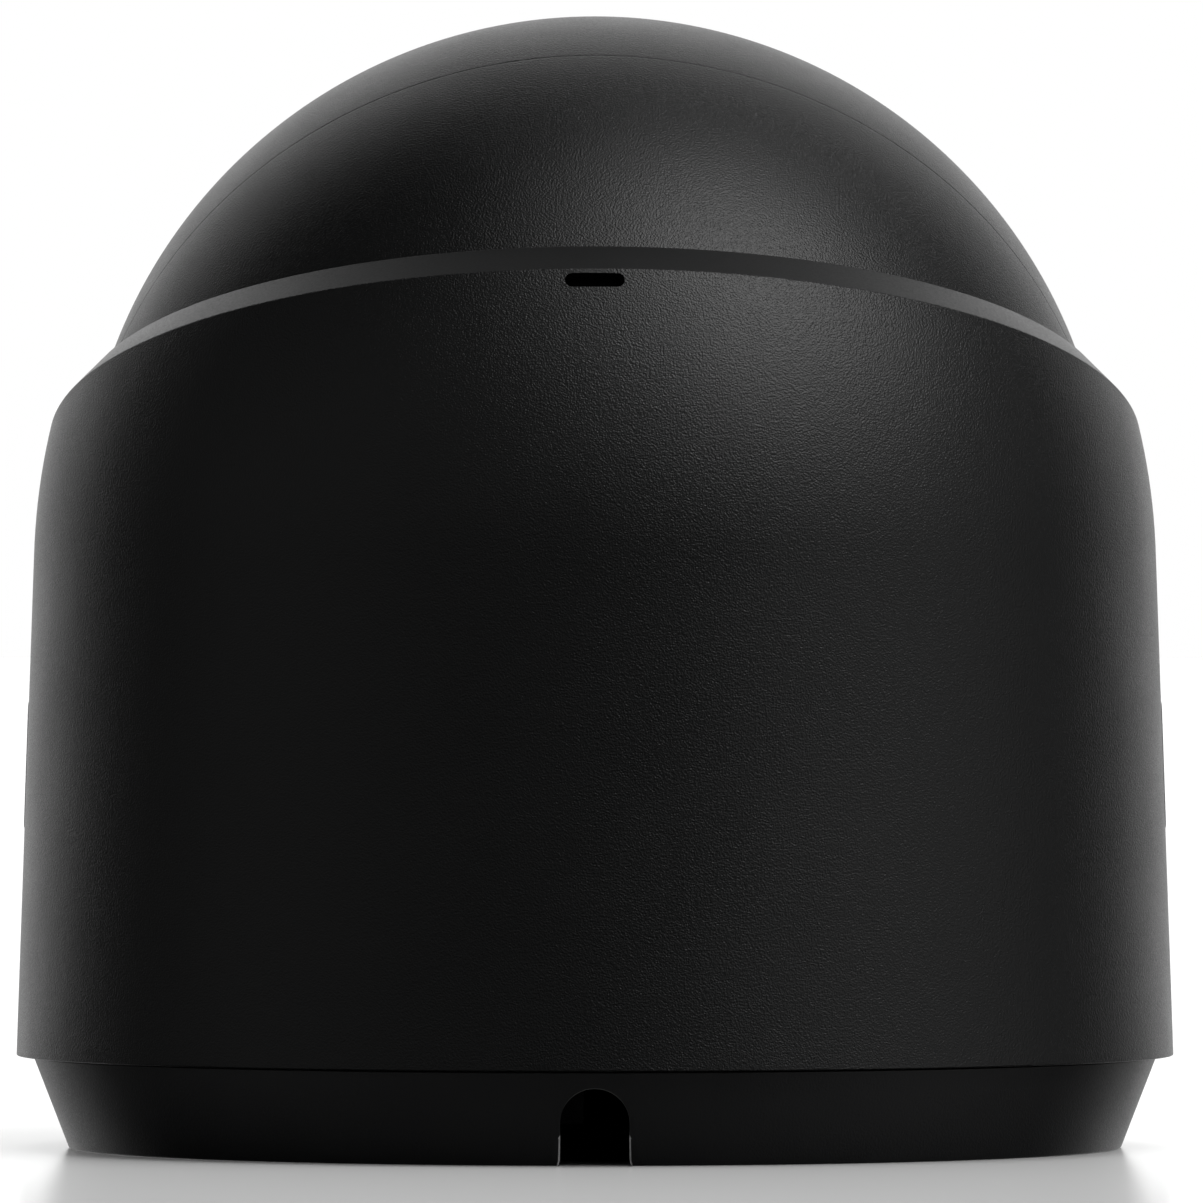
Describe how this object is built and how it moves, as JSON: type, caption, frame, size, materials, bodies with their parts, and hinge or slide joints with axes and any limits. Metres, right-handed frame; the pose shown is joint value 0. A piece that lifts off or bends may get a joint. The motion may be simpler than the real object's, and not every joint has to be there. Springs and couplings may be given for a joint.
{
  "type": "security camera",
  "caption": "Turret security camera: a tilting and rolling ball lens unit in a turning housing on a round tapered wall base with a cable notch.",
  "frame": {"origin": "centre of the base's underside, on the mounting face", "axes": "+Z out of the mounting face along the pan axis, +Y to the side that the lens faces at rest, +X along the tilt axis"},
  "size_m": [0.104, 0.104, 0.1017],
  "materials": {
    "housing_plastic": "fine moulded grain",
    "base_plastic": "satin moulded",
    "badge_plastic": "gloss",
    "inner_plastic": "satin",
    "bearing_plastic": "satin",
    "soft_rubber": "matt",
    "circuit_board": "solder mask",
    "chip_black": "matt",
    "steel": "plated",
    "gold_contact": "plated",
    "aluminium": "extruded",
    "dark_glass": "polished",
    "lens_glass": "coated",
    "filter_glass": "coated",
    "barrel_metal": "anodised black",
    "led_lens": "clear tinted",
    "mesh_fabric": "woven"
  },
  "bodies": {
    "base": {"base_plate": "base_plastic", "mounting_gasket": "soft_rubber", "pan_retainer": "steel", "pan_retainer_screws": "steel"},
    "housing": {"outer_housing": "housing_plastic", "side_badges": "badge_plastic", "microphone": "chip_black", "microphone_mesh": "mesh_fabric", "pan_ring": "bearing_plastic", "chassis": "inner_plastic", "chassis_screws": "steel", "lower_seat_ring": "bearing_plastic", "upper_glide_ring": "bearing_plastic", "wiper_seal": "soft_rubber", "port_board": "circuit_board", "port_board_screws": "steel", "network_jack": "inner_plastic", "jack_contacts": "gold_contact", "reset_switch": "inner_plastic", "harness_connector": "inner_plastic"},
    "reset_button": {"reset_button": "bearing_plastic"},
    "ball_rear": {"outer_harness": "soft_rubber", "rear_shell": "housing_plastic", "roll_ring": "bearing_plastic", "roll_snap_ring": "steel", "grommet": "soft_rubber"},
    "ball_front": {"front_shell": "housing_plastic", "front_window": "dark_glass", "window_gasket": "soft_rubber", "lens_barrel": "barrel_metal", "front_lens": "lens_glass", "inner_lenses": "lens_glass", "lens_holder": "inner_plastic", "filter_coil": "chip_black", "image_sensor": "filter_glass", "sensor_board": "circuit_board", "main_board": "circuit_board", "processor": "chip_black", "memory_chips": "chip_black", "main_connector": "inner_plastic", "inner_harness": "soft_rubber", "rear_standoffs": "steel", "front_standoffs": "steel", "board_screws": "steel", "heat_sink": "aluminium", "heat_sink_screws": "steel", "led_board": "circuit_board", "infrared_leds": "led_lens", "light_sensor": "filter_glass", "light_baffle": "soft_rubber"},
    "infrared_filter": {"filter_frame": "inner_plastic", "filter_glasses": "filter_glass"}
  },
  "joints": [
    {"name": "pan", "type": "hinge", "parent": "base", "child": "housing", "pos_m": [0, 0, 0.008], "axis": [0, 0, 1], "range_deg": [-175, 175]},
    {"name": "tilt", "type": "hinge", "parent": "housing", "child": "ball_rear", "pos_m": [0, 0, 0.0555], "axis": [1, 0, 0], "range_deg": [-8, 65.5], "deforming": ["outer_harness"]},
    {"name": "roll", "type": "hinge", "parent": "ball_rear", "child": "ball_front", "pos_m": [0, 0, 0.0555], "axis": [0, 0.91, 0.4147], "range_deg": [-175, 175]},
    {"name": "filter_slide", "type": "slide", "parent": "ball_front", "child": "infrared_filter", "axis": [1, 0, 0], "range_m": [0, 0.007]},
    {"name": "reset_press", "type": "slide", "parent": "housing", "child": "reset_button", "axis": [0, 0, 1], "range_m": [0, 0.0004], "stiffness_N_per_m": 400}
  ]
}
